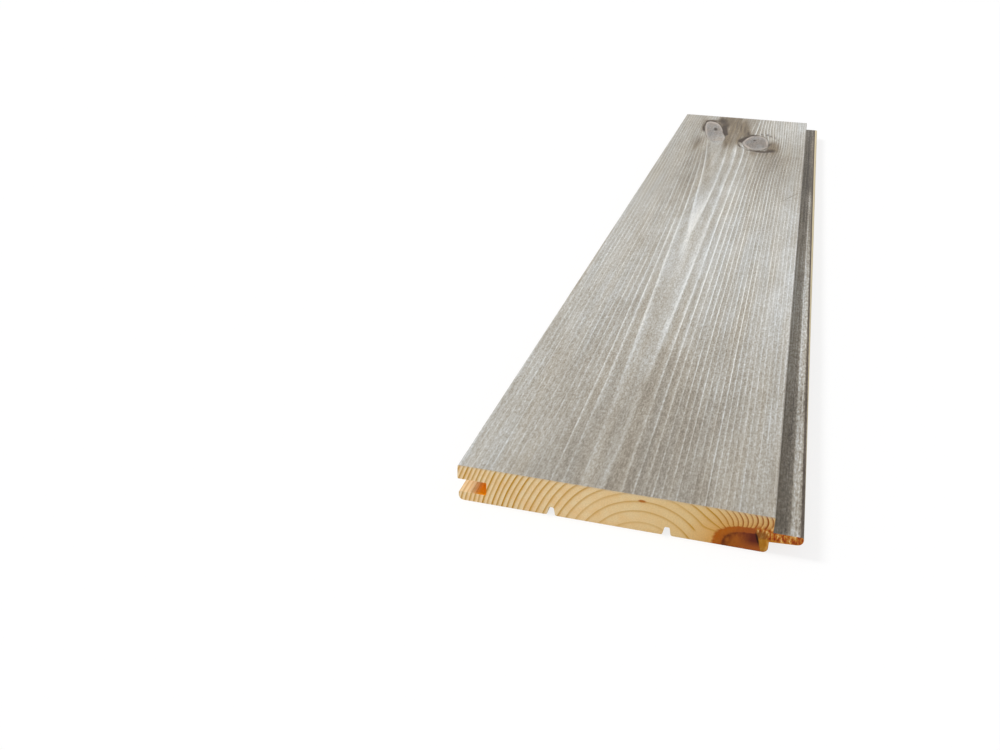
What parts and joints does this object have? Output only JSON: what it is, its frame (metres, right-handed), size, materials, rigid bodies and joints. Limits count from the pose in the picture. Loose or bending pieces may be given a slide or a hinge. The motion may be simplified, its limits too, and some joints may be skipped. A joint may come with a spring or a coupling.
{
  "type": "tongue and groove board",
  "caption": "Planed softwood board with a tongue along one edge, a groove along the other and relief slots in its back, joined edge to edge into wall or ceiling panelling.",
  "frame": {"origin": "middle of the bottom: halfway along the length, halfway between the lip of the groove and the tip of the tongue, on the plane of the back", "axes": "+X from the groove to the tongue, +Y along the length, +Z from the back up to the show face"},
  "size_m": [0.12, 0.7, 0.014],
  "materials": {
    "stained_pine": "brushed face with a thin grey stain, bare sawn ends and planed back"
  },
  "bodies": {
    "root": {"board": "stained_pine"}
  },
  "joints": []
}
